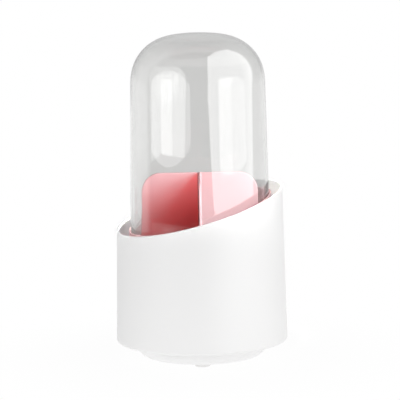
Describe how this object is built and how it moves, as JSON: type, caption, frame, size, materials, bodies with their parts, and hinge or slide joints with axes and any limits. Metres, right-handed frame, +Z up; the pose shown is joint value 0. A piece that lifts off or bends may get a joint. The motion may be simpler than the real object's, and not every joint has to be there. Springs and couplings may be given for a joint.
{
  "type": "makeup brush organizer",
  "caption": "Turning brush holder: slanted barrel on a ball-bearing foot, tinted cup with a T-shaped partition and a clear lift-off domed lid.",
  "frame": {"origin": "on the table, in the middle of the foot", "axes": "+Z up along the turning axis; -Y is the side that the partition's divider points to; the slanted rim is lowest towards -X, turned 12 degrees towards -Y"},
  "size_m": [0.127, 0.127, 0.243],
  "materials": {
    "pad_rubber": "pale, slightly cloudy soft rubber",
    "white_plastic": "satin to gloss white moulding",
    "cage_plastic": "natural moulded plastic",
    "ball_steel": "polished steel",
    "plated_steel": "bright zinc plating",
    "tinted_plastic": "see-through rose-tinted moulding, glossy",
    "clear_plastic": "clear, faintly grey, glossy"
  },
  "bodies": {
    "foot": {"foot_dish": "white_plastic", "rubber_pads": "pad_rubber"},
    "bearing": {"ball_cage": "cage_plastic", "bearing_balls": "ball_steel"},
    "barrel": {"slanted_barrel": "white_plastic", "pivot_screw": "plated_steel", "pivot_washer": "plated_steel"},
    "cup": {"inner_cup": "tinted_plastic"},
    "partition": {"partition": "tinted_plastic"},
    "lid": {"dome_lid": "clear_plastic"}
  },
  "joints": [
    {"name": "barrel_turn", "type": "hinge", "parent": "foot", "child": "barrel", "pos_m": [0, 0, 0.0137], "axis": [0, 0, 1], "continuous": true},
    {"name": "bearing_turn", "type": "hinge", "parent": "foot", "child": "bearing", "pos_m": [0, 0, 0.0097], "axis": [0, 0, 1], "continuous": true},
    {"name": "cup_lift", "type": "slide", "parent": "barrel", "child": "cup", "axis": [0, 0, 1], "range_m": [0, 0.12]},
    {"name": "partition_lift", "type": "slide", "parent": "cup", "child": "partition", "axis": [0, 0, 1], "range_m": [0, 0.115]},
    {"name": "lid_lift", "type": "slide", "parent": "partition", "child": "lid", "axis": [0, 0, 1], "range_m": [0, 0.08]}
  ],
  "couplings": [
    {"joint": "bearing_turn", "follows": "barrel_turn", "ratio": 0.5}
  ]
}
